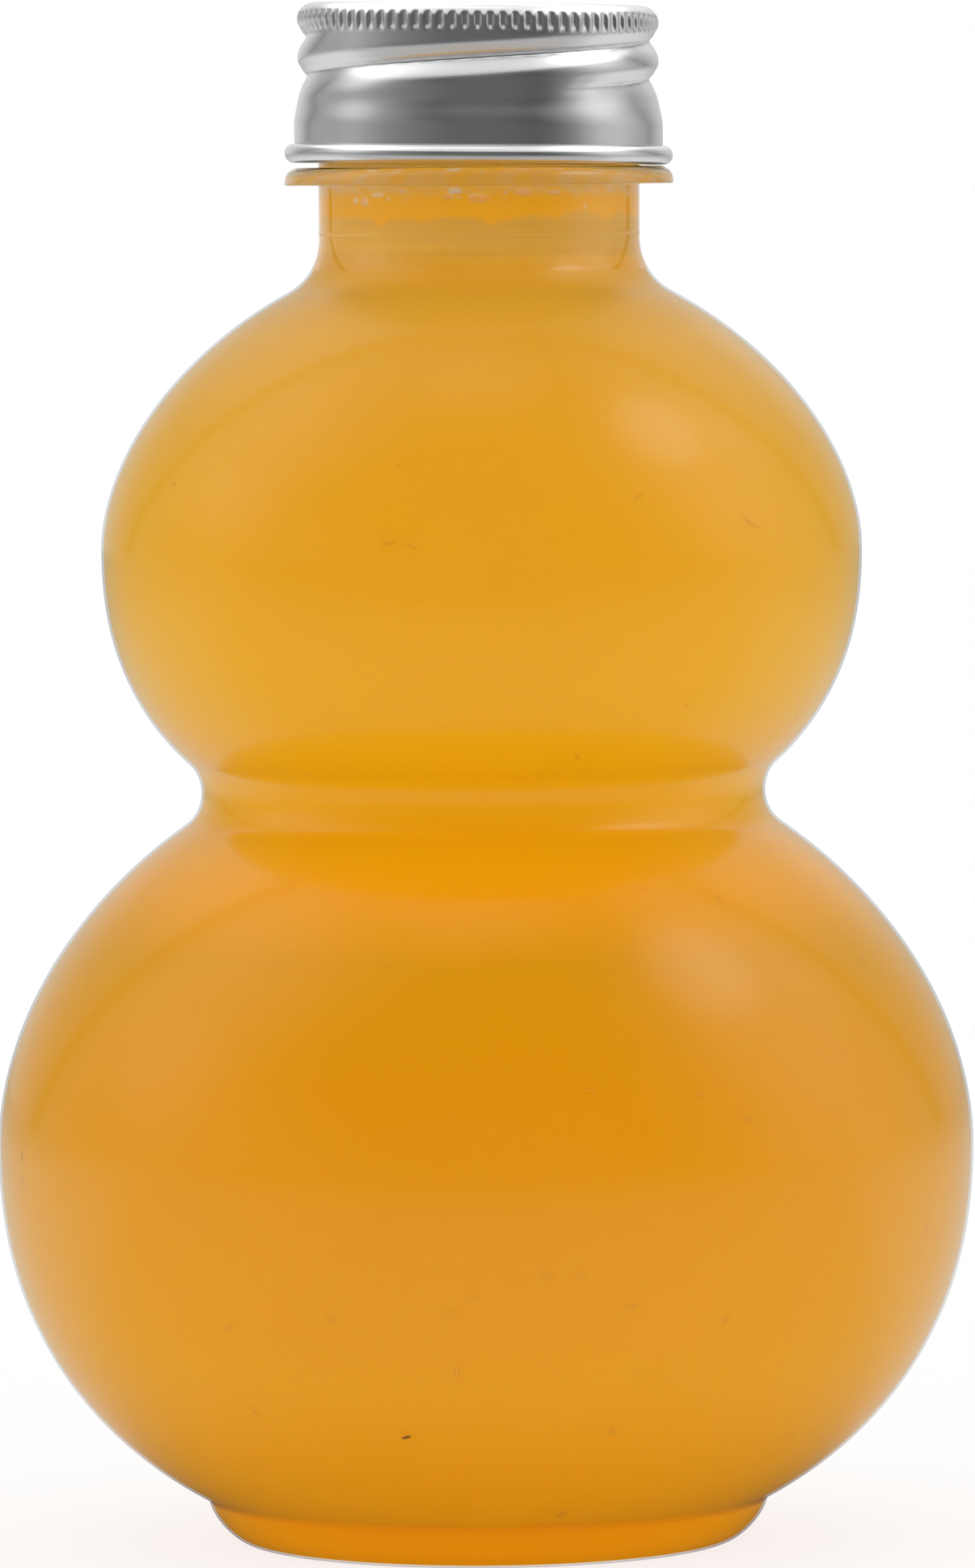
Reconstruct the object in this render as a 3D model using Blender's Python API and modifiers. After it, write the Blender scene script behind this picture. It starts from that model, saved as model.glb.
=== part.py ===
"""Gourd-shaped drink bottle with a rolled screw cap, filled with a cloudy drink.

Metres, +Z up. The origin is the centre of the standing ring, and the front of the bottle faces -Y.
"""

import math

import bmesh
import bpy
import numpy as np
from mathutils import Matrix

# Foot and push-up base
FOOT_RADIUS = 0.0302
FOOT_HEIGHT = 0.0044
FOOT_STEP = 0.0005
FOOT_POWER = 1.45
FOOT_ROUND = 0.004
STAND_WIDTH = 0.0026
PUSH_UP_HEIGHT = 0.0062

# Bulbs: radius and height of each, and how full its curve is below and above its widest ring
LOWER_RADIUS = 0.0526
LOWER_HALF_HEIGHT = 0.0449
LOWER_BELOW_POWER = 2.224
LOWER_ABOVE_POWER = 1.881
WAIST_RADIUS = 0.0304
WAIST_FILLET = 0.0044
UPPER_RADIUS = 0.04093
UPPER_HALF_HEIGHT = 0.0331
UPPER_BELOW_POWER = 2.302
UPPER_ABOVE_POWER = 1.8

# Neck, support ring and mouth
NECK_RADIUS = 0.01725
SHOULDER_FILLET = 0.0065
NECK_LENGTH = 0.0058
RING_REACH = 0.00365
RING_THICKNESS = 0.0019
RING_EDGE = 0.0004
RING_ROUND_WIDTH = 0.0016
MOUTH_LIP_RADIUS = 0.0004
BODY_WALL = 0.0006
NECK_WALL = 0.0017

# Thread on the mouth, right-handed
THREAD_STARTS = 2
THREAD_LEAD = 0.0082
THREAD_DEPTH = 0.001
THREAD_FOOT_WIDTH = 0.0016
THREAD_CREST_WIDTH = 0.0008
THREAD_TOP_DROP = 0.0018
THREAD_RISE = 0.0052
THREAD_TOP_ANGLE = math.radians(257)

# Rolled cap: the thread is pressed in from outside, so each groove outside is a ridge inside
CAP_HEIGHT = 0.0171
CAP_WALL = 0.00045
CAP_CORNER = 0.0014
SKIRT_FLARE = 0.00035
SKIRT_FLARE_HEIGHT = 0.006
BEAD_RADIUS = 0.00102
BEAD_OVERHANG = 0.0001
BEAD_TOP_ANGLE = 70
BEAD_LIP_ANGLE = -150
GROOVE_UPPER_WIDTH = 0.0018
GROOVE_LOWER_WIDTH = 0.0028
GROOVE_POWER = 1.4
GROOVE_TOP_DROP = 0.0025
GROOVE_RISE = 0.0069
GROOVE_FADE_IN = 0.0008
GROOVE_FADE_OUT = 0.0014
KNURL_COUNT = 90
KNURL_WIDTH = 0.00062
KNURL_DEPTH = 0.00022
KNURL_HEIGHT = 0.0021
KNURL_DROP = 0.0004

# Sealing disc in the cap
LINER_THICKNESS = 0.0012
LINER_BEVEL = 0.0002

# Drink: its level above the underside of the support ring
DRINK_LEVEL_RISE = 0.0026

# Clearances
SEAT_GAP = 0.0003
THREAD_GAP = 0.0007
GROOVE_GAP = 0.00065
LINER_GAP = 0.001
DRINK_GAP = 0.0003
CUT_OVERRUN = 0.0006
MERGE_DISTANCE = 0.000001

# Facets: steps about the axis, and points along each outline
BODY_STEPS = 48
CAP_STEPS = 54
DRINK_STEPS = 36
BULB_POINTS = 7
ROUND_POINTS = 4
ROLLED_POINTS = 15
BEAD_POINTS = 8
FINE_POINTS = 1200
SHARP_ANGLE = math.radians(35)

# Radii that follow from what fits on or in what
STAND_OUTER_RADIUS = FOOT_RADIUS - FOOT_ROUND
STAND_INNER_RADIUS = STAND_OUTER_RADIUS - STAND_WIDTH
RING_RADIUS = NECK_RADIUS + RING_REACH
BORE_RADIUS = NECK_RADIUS - NECK_WALL
CAP_RADIUS = NECK_RADIUS + THREAD_DEPTH + THREAD_GAP + CAP_WALL
GROOVE_DEPTH = THREAD_DEPTH + THREAD_GAP - GROOVE_GAP
LINER_RADIUS = CAP_RADIUS - CAP_WALL - LINER_GAP
THREAD_PITCH = THREAD_LEAD / THREAD_STARTS


def clearScene():
    for old in list(bpy.data.objects):
        bpy.data.objects.remove(old)


def makeCollection(name):
    made = bpy.data.collections.new(name)
    bpy.context.scene.collection.children.link(made)
    return made


def makeMaterial(name, colour, roughness, metallic, transmission=0.0, ior=1.5):
    material = bpy.data.materials.new(name)
    material.use_nodes = True
    shader = material.node_tree.nodes["Principled BSDF"]
    shader.inputs["Base Color"].default_value = (*colour, 1.0)
    shader.inputs["Roughness"].default_value = roughness
    shader.inputs["Metallic"].default_value = metallic
    shader.inputs["Transmission Weight"].default_value = transmission
    shader.inputs["IOR"].default_value = ior
    return material


def quarterCurve(radius, halfHeight, power):
    """Radius and height from a bulb's widest ring to its pole, the higher the power the fuller."""
    turn = np.linspace(0, math.pi / 2, FINE_POINTS)
    return np.column_stack(
        [radius * np.cos(turn) ** (2 / power), halfHeight * np.sin(turn) ** (2 / power)]
    )


def sideNormals(points):
    """Unit normals to the right of the way that the outline runs."""
    along = np.gradient(points, axis=0)
    normals = np.column_stack([along[:, 1], -along[:, 0]])
    return normals / np.linalg.norm(normals, axis=1)[:, None]


def resample(points, count):
    """The same line with points an even length apart."""
    lengths = np.linalg.norm(np.diff(points, axis=0), axis=1)
    run = np.concatenate([[0], np.cumsum(lengths)])
    stops = np.linspace(0, run[-1], count)
    return np.column_stack([np.interp(stops, run, points[:, 0]), np.interp(stops, run, points[:, 1])])


def arc(centre, radii, start, end, count):
    """Points on an ellipse arc, angles in degrees from +X."""
    turn = np.radians(np.linspace(start, end, count))
    return np.column_stack(
        [centre[0] + radii[0] * np.cos(turn), centre[1] + radii[1] * np.sin(turn)]
    )


def cutToRadius(curve, radius):
    """The part of a quarter curve that is wider than a radius."""
    return curve[curve[:, 0] > radius]


def bulbFrom(below, above):
    """A whole bulb about its widest ring, upwards, from the quarter curves below and above that ring."""
    low = resample(below, BULB_POINTS)[::-1] * (1, -1)
    return np.concatenate([low, resample(above, BULB_POINTS)[1:]])


def filletSeat(curve, fillet, throat):
    """The part of a quarter curve below a fillet that narrows to a throat, and the fillet's centre."""
    centres = curve + fillet * sideNormals(curve)
    last = np.argmax(centres[:, 0] < throat + fillet)
    return curve[: last + 1], centres[last]


def filletArc(start, end, centre, count):
    """Points round a fillet's centre, on its side nearest the axis, from start up to end."""
    first, last = start - centre, end - centre
    turns = [math.atan2(p[1], p[0]) % (2 * math.pi) for p in (first, last)]
    turn = np.linspace(*turns, count)
    radius = np.linalg.norm(first)
    return centre + radius * np.column_stack([np.cos(turn), np.sin(turn)])


def bodyOutline():
    """The outside from the middle of the base up to the support ring, as radius and height."""
    dome = arc((0, 0), (STAND_INNER_RADIUS, PUSH_UP_HEIGHT), 90, 0, ROUND_POINTS)
    reach, drop = quarterCurve(FOOT_RADIUS - STAND_OUTER_RADIUS, FOOT_HEIGHT, FOOT_POWER)[::-1].T
    footSide = np.column_stack([STAND_OUTER_RADIUS + reach, FOOT_HEIGHT - drop])
    foot = resample(footSide, ROUND_POINTS)

    below = cutToRadius(
        quarterCurve(LOWER_RADIUS, LOWER_HALF_HEIGHT, LOWER_BELOW_POWER), FOOT_RADIUS + FOOT_STEP
    )
    lowerCentre = FOOT_HEIGHT + FOOT_STEP + below[-1, 1]
    above, fillet = filletSeat(
        quarterCurve(LOWER_RADIUS, LOWER_HALF_HEIGHT, LOWER_ABOVE_POWER), WAIST_FILLET, WAIST_RADIUS
    )
    lowerBulb = bulbFrom(below, above) + (0, lowerCentre)
    waistCentre = fillet + (0, lowerCentre)

    under, seat = filletSeat(
        quarterCurve(UPPER_RADIUS, UPPER_HALF_HEIGHT, UPPER_BELOW_POWER), WAIST_FILLET, WAIST_RADIUS
    )
    upperCentre = waistCentre[1] + seat[1]
    over, shoulder = filletSeat(
        quarterCurve(UPPER_RADIUS, UPPER_HALF_HEIGHT, UPPER_ABOVE_POWER), SHOULDER_FILLET, NECK_RADIUS
    )
    upperBulb = bulbFrom(under, over) + (0, upperCentre)
    waist = filletArc(lowerBulb[-1], upperBulb[0], waistCentre, ROUND_POINTS)
    shoulderCentre = shoulder + (0, upperCentre)
    neckFoot = np.array([NECK_RADIUS, shoulderCentre[1]])
    shoulderArc = filletArc(upperBulb[-1], neckFoot, shoulderCentre, ROUND_POINTS)
    neckTop = neckFoot + (0, NECK_LENGTH)
    return np.concatenate(
        [dome, foot, lowerBulb, waist[1:-1], upperBulb, shoulderArc[1:], [neckTop]]
    ), shoulderCentre[1]


BODY_OUTLINE, SHOULDER_TOP = bodyOutline()
RING_HEIGHT = BODY_OUTLINE[-1, 1]
RING_TOP = RING_HEIGHT + RING_THICKNESS
CAP_BOTTOM = RING_TOP + SEAT_GAP
CAP_TOP = CAP_BOTTOM + CAP_HEIGHT
LINER_TOP = CAP_TOP - CAP_WALL - SEAT_GAP
MOUTH_HEIGHT = LINER_TOP - LINER_THICKNESS - SEAT_GAP


def insideOutline(extra=0.0):
    """The inner wall from the base up to the support ring: thin in the body, thicker in the neck."""
    heights = BODY_OUTLINE[:, 1]
    climb = np.clip((heights - SHOULDER_TOP) / (RING_HEIGHT - SHOULDER_TOP), 0, 1)
    walls = BODY_WALL + climb * (NECK_WALL - BODY_WALL) + extra
    inner = BODY_OUTLINE - walls[:, None] * sideNormals(BODY_OUTLINE)
    inner[0, 0] = 0
    return inner


def turned(name, outline, steps, collection):
    """A solid of revolution: the outline runs down its outer side."""
    count = len(outline)
    mesh = bpy.data.meshes.new(name)
    mesh.from_pydata(
        [(r, 0, z) for r, z in outline], [(i, i + 1) for i in range(count - 1)], []
    )
    made = bpy.data.objects.new(name, mesh)
    collection.objects.link(made)
    screw = made.modifiers.new("Turn", "SCREW")
    screw.steps = screw.render_steps = steps
    screw.use_merge_vertices = True
    screw.merge_threshold = MERGE_DISTANCE
    screw.use_smooth_shade = True
    return made


def baked(source):
    """The mesh of an object with its modifiers applied."""
    graph = bpy.context.evaluated_depsgraph_get()
    return bpy.data.meshes.new_from_object(source.evaluated_get(graph))


def hideHelper(helper):
    helper.hide_render = True
    helper.display_type = "WIRE"


def threadHeight(angle):
    """Height of the middle of the neck's thread at an angle about the axis."""
    top = MOUTH_HEIGHT - THREAD_TOP_DROP
    return top + THREAD_LEAD * (angle - THREAD_TOP_ANGLE) / (2 * math.pi)


def makeThread(helpers):
    """A ridge for each start, wound up the mouth and sunk a little into its wall."""
    turn = THREAD_RISE / THREAD_LEAD * 2 * math.pi
    steps = round(BODY_STEPS * turn / (2 * math.pi))
    height = MOUTH_HEIGHT - THREAD_TOP_DROP - THREAD_RISE
    shaped = bmesh.new()
    for start in range(THREAD_STARTS):
        low = THREAD_TOP_ANGLE - turn + start * 2 * math.pi / THREAD_STARTS
        section = [
            (NECK_RADIUS - CUT_OVERRUN, -THREAD_FOOT_WIDTH / 2),
            (NECK_RADIUS, -THREAD_FOOT_WIDTH / 2),
            (NECK_RADIUS + THREAD_DEPTH, -THREAD_CREST_WIDTH / 2),
            (NECK_RADIUS + THREAD_DEPTH, THREAD_CREST_WIDTH / 2),
            (NECK_RADIUS, THREAD_FOOT_WIDTH / 2),
            (NECK_RADIUS - CUT_OVERRUN, THREAD_FOOT_WIDTH / 2),
        ]
        corners = [
            shaped.verts.new((r * math.cos(low), r * math.sin(low), height + z)) for r, z in section
        ]
        face = shaped.faces.new(corners)
        bmesh.ops.spin(
            shaped,
            geom=[face, *face.edges, *face.verts],
            cent=(0, 0, 0),
            axis=(0, 0, 1),
            dvec=(0, 0, THREAD_RISE / steps),
            angle=turn,
            steps=steps,
        )
    bmesh.ops.recalc_face_normals(shaped, faces=shaped.faces)
    mesh = bpy.data.meshes.new("thread_ridges")
    shaped.to_mesh(mesh)
    shaped.free()
    ridges = bpy.data.objects.new("thread_ridges", mesh)
    helpers.objects.link(ridges)
    hideHelper(ridges)
    return ridges


def makeBottle(parts, helpers):
    """One moulded shell, open at the mouth, with its support ring and thread."""
    ringRound = arc(
        (RING_RADIUS - RING_ROUND_WIDTH, RING_HEIGHT + RING_EDGE),
        (RING_ROUND_WIDTH, RING_THICKNESS - RING_EDGE),
        90,
        0,
        ROUND_POINTS,
    )
    lip = arc(
        (NECK_RADIUS - MOUTH_LIP_RADIUS, MOUTH_HEIGHT - MOUTH_LIP_RADIUS),
        (MOUTH_LIP_RADIUS, MOUTH_LIP_RADIUS),
        90,
        0,
        ROUND_POINTS - 1,
    )
    mouth = [(BORE_RADIUS, MOUTH_HEIGHT)]
    ringFoot = [(NECK_RADIUS, RING_TOP)]
    ringUnder = [(RING_RADIUS, RING_HEIGHT)]
    outline = np.concatenate(
        [insideOutline(), mouth, lip, ringFoot, ringRound, ringUnder, BODY_OUTLINE[::-1]]
    )
    bottle = turned("bottle", outline, BODY_STEPS, parts)
    join = bottle.modifiers.new("Thread", "BOOLEAN")
    join.operation = "UNION"
    join.object = makeThread(helpers)
    bottle.data.materials.append(makeMaterial("clear_plastic", (0.93, 0.95, 0.95), 0.04, 0.0, 1.0, 1.57))


def makeDrink(parts):
    """The drink, a little smaller than the inside of the bottle, with a flat top inside the mouth."""
    level = RING_HEIGHT + DRINK_LEVEL_RISE
    wall = insideOutline(DRINK_GAP)
    side = wall[np.argmin(wall[:, 1]) :]
    radius = np.interp(level, side[:, 1], side[:, 0])
    filled = wall[wall[:, 1] < level]
    outline = np.concatenate([[(0, level), (radius, level)], filled[::-1]])
    drink = turned("drink", outline, DRINK_STEPS, parts)
    drink.data.materials.append(makeMaterial("orange_drink", (0.82, 0.31, 0.012), 0.35, 0.0))


def pressedIn(angle, height):
    """How far the rolled thread dents the cap at an angle about the axis and a height above its bottom.

    The grooves lie midway between the turns of the neck's thread, and fade in and out as they climb.
    """
    high = CAP_HEIGHT - GROOVE_TOP_DROP
    low = high - GROOVE_RISE
    under = threadHeight(angle) - CAP_BOTTOM - THREAD_PITCH / 2
    first = math.ceil((low - under) / THREAD_PITCH)
    last = math.floor((high - under) / THREAD_PITCH)
    depth = 0
    for turn in range(first, last + 1):
        middle = under + turn * THREAD_PITCH
        fade = min(1, (middle - low) / GROOVE_FADE_IN) * min(1, (high - middle) / GROOVE_FADE_OUT)
        away = height - middle
        width = GROOVE_UPPER_WIDTH if away > 0 else GROOVE_LOWER_WIDTH
        near = max(0, 1 - abs(away) / width)
        depth = max(depth, GROOVE_DEPTH * fade * near**GROOVE_POWER)
    return depth


def capOutline():
    """The outside of the cap from the middle of its top down to the lip of its curled bead."""
    corner = arc(
        (CAP_RADIUS - CAP_CORNER, CAP_HEIGHT - CAP_CORNER), (CAP_CORNER, CAP_CORNER), 90, 0, ROUND_POINTS
    )
    beadTop = BEAD_RADIUS * 2
    rolled = np.linspace(CAP_HEIGHT - CAP_CORNER - KNURL_HEIGHT / 2, beadTop, ROLLED_POINTS)
    flare = np.clip(1 - (rolled - beadTop) / SKIRT_FLARE_HEIGHT, 0, 1)
    rolledRadius = CAP_RADIUS + SKIRT_FLARE * flare
    bead = arc(
        (CAP_RADIUS + SKIRT_FLARE + BEAD_OVERHANG, BEAD_RADIUS),
        (BEAD_RADIUS, BEAD_RADIUS),
        BEAD_TOP_ANGLE,
        BEAD_LIP_ANGLE,
        BEAD_POINTS,
    )
    return np.concatenate([[(0, CAP_HEIGHT)], corner, np.column_stack([rolledRadius, rolled]), bead])


def makeKnurlCutter(helpers):
    """A ring of upright slots round the cap's shoulder."""
    cutters = bmesh.new()
    size = (CUT_OVERRUN + KNURL_DEPTH, KNURL_WIDTH, KNURL_HEIGHT)
    middle = CAP_RADIUS - KNURL_DEPTH + size[0] / 2
    height = CAP_BOTTOM + CAP_HEIGHT - KNURL_DROP - KNURL_HEIGHT / 2
    for slot in range(KNURL_COUNT):
        turn = Matrix.Rotation((slot + 0.5) * 2 * math.pi / KNURL_COUNT, 4, "Z")
        place = Matrix.Translation((middle, 0, height)) @ Matrix.Diagonal((*size, 1))
        bmesh.ops.create_cube(cutters, size=1, matrix=turn @ place)
    mesh = bpy.data.meshes.new("knurl_slots")
    cutters.to_mesh(mesh)
    cutters.free()
    slots = bpy.data.objects.new("knurl_slots", mesh)
    helpers.objects.link(slots)
    hideHelper(slots)
    return slots


def makeCap(parts, helpers):
    """Thin sheet: turned, rolled round the neck's thread, thickened inwards, then knurled."""
    blank = turned("cap_blank", capOutline(), CAP_STEPS, helpers)
    mesh = baked(blank)
    bpy.data.objects.remove(blank)
    for vertex in mesh.vertices:
        radius = math.hypot(vertex.co.x, vertex.co.y)
        if radius < CAP_RADIUS - CAP_CORNER:
            continue
        angle = math.atan2(vertex.co.y, vertex.co.x)
        shrink = 1 - pressedIn(angle, vertex.co.z) / radius
        vertex.co.x *= shrink
        vertex.co.y *= shrink
    mesh.shade_smooth()
    mesh.set_sharp_from_angle(angle=SHARP_ANGLE)
    mesh.name = "cap_shell"
    cap = bpy.data.objects.new("cap_shell", mesh)
    cap.location.z = CAP_BOTTOM
    parts.objects.link(cap)
    sheet = cap.modifiers.new("Sheet", "SOLIDIFY")
    sheet.thickness = CAP_WALL
    sheet.offset = -1
    knurl = cap.modifiers.new("Knurl", "BOOLEAN")
    knurl.operation = "DIFFERENCE"
    knurl.object = makeKnurlCutter(helpers)
    cap.data.materials.append(makeMaterial("satin_aluminium", (0.62, 0.62, 0.63), 0.28, 1.0))


def makeLiner(parts):
    """A foam disc between the cap's top and the mouth."""
    disc = bmesh.new()
    bmesh.ops.create_cone(
        disc,
        cap_ends=True,
        segments=DRINK_STEPS,
        radius1=LINER_RADIUS,
        radius2=LINER_RADIUS,
        depth=LINER_THICKNESS,
    )
    mesh = bpy.data.meshes.new("cap_liner")
    disc.to_mesh(mesh)
    disc.free()
    mesh.shade_smooth()
    mesh.set_sharp_from_angle(angle=SHARP_ANGLE)
    liner = bpy.data.objects.new("cap_liner", mesh)
    liner.location.z = LINER_TOP - LINER_THICKNESS / 2
    parts.objects.link(liner)
    edge = liner.modifiers.new("Edge", "BEVEL")
    edge.width = LINER_BEVEL
    edge.segments = 1
    liner.data.materials.append(makeMaterial("white_foam", (0.86, 0.86, 0.84), 0.7, 0.0))


def main():
    clearScene()
    parts = makeCollection("gourd_bottle")
    helpers = makeCollection("helpers")
    makeBottle(parts, helpers)
    makeDrink(parts)
    makeCap(parts, helpers)
    makeLiner(parts)
    print(f"mouth at {MOUTH_HEIGHT:.5f}, ring under {RING_HEIGHT:.5f}, cap {CAP_BOTTOM:.5f} to {CAP_TOP:.5f}")


main()
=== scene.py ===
import math

import bpy
import numpy as np
from mathutils import Euler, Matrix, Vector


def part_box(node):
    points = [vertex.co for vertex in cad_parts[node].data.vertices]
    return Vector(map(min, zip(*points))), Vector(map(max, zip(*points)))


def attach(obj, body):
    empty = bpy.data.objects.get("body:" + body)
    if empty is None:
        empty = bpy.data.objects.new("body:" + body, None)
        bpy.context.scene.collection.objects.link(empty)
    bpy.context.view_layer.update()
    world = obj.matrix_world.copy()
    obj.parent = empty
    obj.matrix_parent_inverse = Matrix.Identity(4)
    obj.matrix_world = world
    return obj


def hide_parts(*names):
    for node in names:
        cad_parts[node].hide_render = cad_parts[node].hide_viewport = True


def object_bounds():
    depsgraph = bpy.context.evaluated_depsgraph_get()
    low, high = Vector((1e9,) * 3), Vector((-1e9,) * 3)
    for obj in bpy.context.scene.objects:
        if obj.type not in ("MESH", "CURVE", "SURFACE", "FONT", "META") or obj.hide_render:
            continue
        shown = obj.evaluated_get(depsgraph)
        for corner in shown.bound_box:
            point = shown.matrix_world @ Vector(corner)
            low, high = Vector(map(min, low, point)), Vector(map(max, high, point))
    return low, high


# A clear gourd-shaped bottle of cloudy orange drink under a rolled aluminium screw cap.
# Metres, +Z up, the front of the bottle towards -Y.

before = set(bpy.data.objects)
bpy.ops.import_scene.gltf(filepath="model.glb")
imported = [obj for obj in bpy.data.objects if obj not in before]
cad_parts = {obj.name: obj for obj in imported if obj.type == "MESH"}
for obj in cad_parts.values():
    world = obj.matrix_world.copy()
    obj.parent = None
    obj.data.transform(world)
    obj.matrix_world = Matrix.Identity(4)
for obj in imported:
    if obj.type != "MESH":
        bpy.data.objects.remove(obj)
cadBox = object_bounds()

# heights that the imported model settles
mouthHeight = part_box("bottle")[1].z
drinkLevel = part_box("drink")[1].z
capLow, capHigh = (corner.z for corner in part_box("cap_shell"))
sealLow, sealHigh = (corner.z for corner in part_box("cap_liner"))


# lines and surfaces

millimetre = 0.001
sidePoints = 1200  # how finely a bulb's side is worked out
arcPoints = 60
onAxis = 0.0000001  # a ring narrower than this is a single point


def quarterCurve(radius, halfHeight, power):
    # a bulb's side from its widest ring to its pole: r = R cos^(2/p), z = H sin^(2/p), fuller as p grows
    turn = np.linspace(0, math.pi / 2, sidePoints)
    return np.column_stack(
        [radius * np.cos(turn) ** (2 / power), halfHeight * np.sin(turn) ** (2 / power)]
    )


def sideNormals(line):
    # unit normals to the right of the way that a line runs
    along = np.gradient(line, axis=0)
    normals = np.column_stack([along[:, 1], -along[:, 0]])
    return normals / np.linalg.norm(normals, axis=1)[:, None]


def arc(centre, radii, start, end):
    # part of an ellipse, angles in degrees from +X
    turn = np.radians(np.linspace(start, end, arcPoints))
    return np.asarray(centre) + np.column_stack([radii[0] * np.cos(turn), radii[1] * np.sin(turn)])


def filletSeat(curve, fillet, throat):
    # a bulb's side as far as a round that narrows to a throat, and that round's centre
    centres = curve + fillet * sideNormals(curve)
    last = np.argmax(centres[:, 0] < throat + fillet)
    return curve[: last + 1], centres[last]


def filletArc(start, end, centre):
    # points round a centre from start up to end, on its side nearest the axis
    turns = [math.atan2(*(point - centre)[::-1]) % (2 * math.pi) for point in (start, end)]
    turn = np.linspace(*turns, arcPoints)
    return centre + np.linalg.norm(start - centre) * np.column_stack([np.cos(turn), np.sin(turn)])


def runOf(line):
    # length along a line up to each of its points
    return np.concatenate([[0], np.cumsum(np.linalg.norm(np.diff(line, axis=0), axis=1))])


def readLine(line, run, stops):
    # the line's points at stops along its run, straight between its own points
    return np.column_stack([np.interp(stops, run, line[:, axis]) for axis in range(2)])


def softened(line, reach, step=0.00005):
    # the line with its corners rounded: each point is a mean of its neighbours along the line, with
    # weights exp(-d^2 / 2 r^2) at distance d, out to three times the reach r
    run = runOf(line)
    even = readLine(line, run, np.linspace(0, run[-1], int(run[-1] / step)))
    count = int(3 * reach / step)
    weights = np.exp(-0.5 * (np.arange(-count, count + 1) * step / reach) ** 2)
    before = 2 * even[0] - even[count:0:-1]
    after = 2 * even[-1] - even[-2 : -count - 2 : -1]
    padded = np.concatenate([before, even, after])
    return np.column_stack(
        [np.convolve(padded[:, axis], weights / weights.sum(), "valid") for axis in range(2)]
    )


def spaced(line, longest, turn):
    # stops along a fine line, closer where it bends: each step adds length / longest + bend / turn
    step = np.diff(line, axis=0)
    heading = np.unwrap(np.arctan2(step[:, 1], step[:, 0]))
    share = np.hypot(*step.T) / longest + np.abs(np.gradient(heading)) / turn
    run = np.concatenate([[0], np.cumsum(share)])
    return readLine(line, run, np.linspace(0, run[-1], math.ceil(run[-1]) + 1))


def ringOf(radius, height, steps):
    # a ring of points: x = r cos t, y = r sin t, z = h, where r and h may change with t
    turn = np.arange(steps) * 2 * math.pi / steps
    return np.column_stack(
        [radius * np.cos(turn), radius * np.sin(turn), np.broadcast_to(height, steps)]
    )


def ringsOf(outline, steps):
    # one ring for each point of an outline, and a single point where it meets the axis
    return [ringOf(r, z, steps if r > onAxis else 1) for r, z in outline]


def between(lowCount, highCount, low, high):
    # faces from one ring to the next: squares, and a fan where one ring has fewer points
    most = max(lowCount, highCount)
    fine = np.arange(most + 1)
    down, up = (
        first + (fine + most // count // 2) // (most // count) % count
        for count, first in ((lowCount, low), (highCount, high))
    )
    squares = np.column_stack([down[:-1], down[1:], up[1:], up[:-1]])
    downPoint, upPoint = squares[:, 0] == squares[:, 1], squares[:, 2] == squares[:, 3]
    return (
        squares[~downPoint & ~upPoint].tolist()
        + squares[downPoint][:, 1:].tolist()
        + squares[upPoint][:, :3].tolist()
    )


def skin(rings):
    # all the points of a stack of rings, and the faces between each ring and the next
    starts = np.concatenate([[0], np.cumsum([len(ring) for ring in rings])])
    faces = []
    for index in range(len(rings) - 1):
        faces += between(
            len(rings[index]), len(rings[index + 1]), starts[index], starts[index + 1]
        )
    return np.concatenate(rings), faces


def putMesh(name, points, faces, materials, materialOf=None):
    # materialOf picks a material for each face from the mean height of its points
    mesh = bpy.data.meshes.new(name)
    mesh.from_pydata(points.tolist(), [], faces)
    for material in materials:
        mesh.materials.append(material)
    if materialOf is not None:
        heights = np.array([points[face, 2].mean() for face in map(list, faces)])
        mesh.polygons.foreach_set("material_index", materialOf(heights).astype(np.int32))
    mesh.shade_smooth()
    mesh.update()
    made = bpy.data.objects.new(name, mesh)
    bpy.context.scene.collection.objects.link(made)
    return made


def easeStep(value, low, high):
    # 0 below low, 1 above high, and a smooth rise between
    share = np.clip((value - low) / (high - low), 0, 1)
    return share * share * (3 - 2 * share)


# materials


def srgb(red, green, blue):
    # a display colour, 0 to 255, as light: the usual gamma curve
    shown = np.array([red, green, blue]) / 255
    light = np.where(shown <= 0.04045, shown / 12.92, ((shown + 0.055) / 1.055) ** 2.4)
    return (*map(float, light), 1.0)


def newMaterial(name):
    # a material with nothing in it but its output
    material = bpy.data.materials.new(name)
    material.use_nodes = True
    tree = material.node_tree
    tree.nodes.clear()
    return material, tree, tree.nodes.new("ShaderNodeOutputMaterial")


def give(tree, socket, value):
    # a socket takes another node's output or a plain value
    if isinstance(value, bpy.types.NodeSocket):
        tree.links.new(value, socket)
    else:
        socket.default_value = value


def maths(tree, operation, *values):
    # one sum on numbers or on other nodes' outputs
    node = tree.nodes.new("ShaderNodeMath")
    node.operation = operation
    for socket, value in zip(node.inputs, values):
        give(tree, socket, value)
    return node.outputs[0]


def eased(tree, value, low, high, start=0.0, end=1.0):
    # start below low, end above high, and a smooth change between
    node = tree.nodes.new("ShaderNodeMapRange")
    node.interpolation_type = "SMOOTHSTEP"
    for name, number in (("From Min", low), ("From Max", high), ("To Min", start), ("To Max", end)):
        node.inputs[name].default_value = number
    give(tree, node.inputs["Value"], value)
    return node.outputs[0]


def ramp(tree, value, stops):
    # a colour for each place from 0 to 1
    node = tree.nodes.new("ShaderNodeValToRGB")
    elements = node.color_ramp.elements
    while len(elements) < len(stops):
        elements.new(1.0)
    for element, (place, colour) in zip(elements, stops):
        element.position = place
        element.color = colour
    give(tree, node.inputs[0], value)
    return node.outputs[0]


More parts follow.
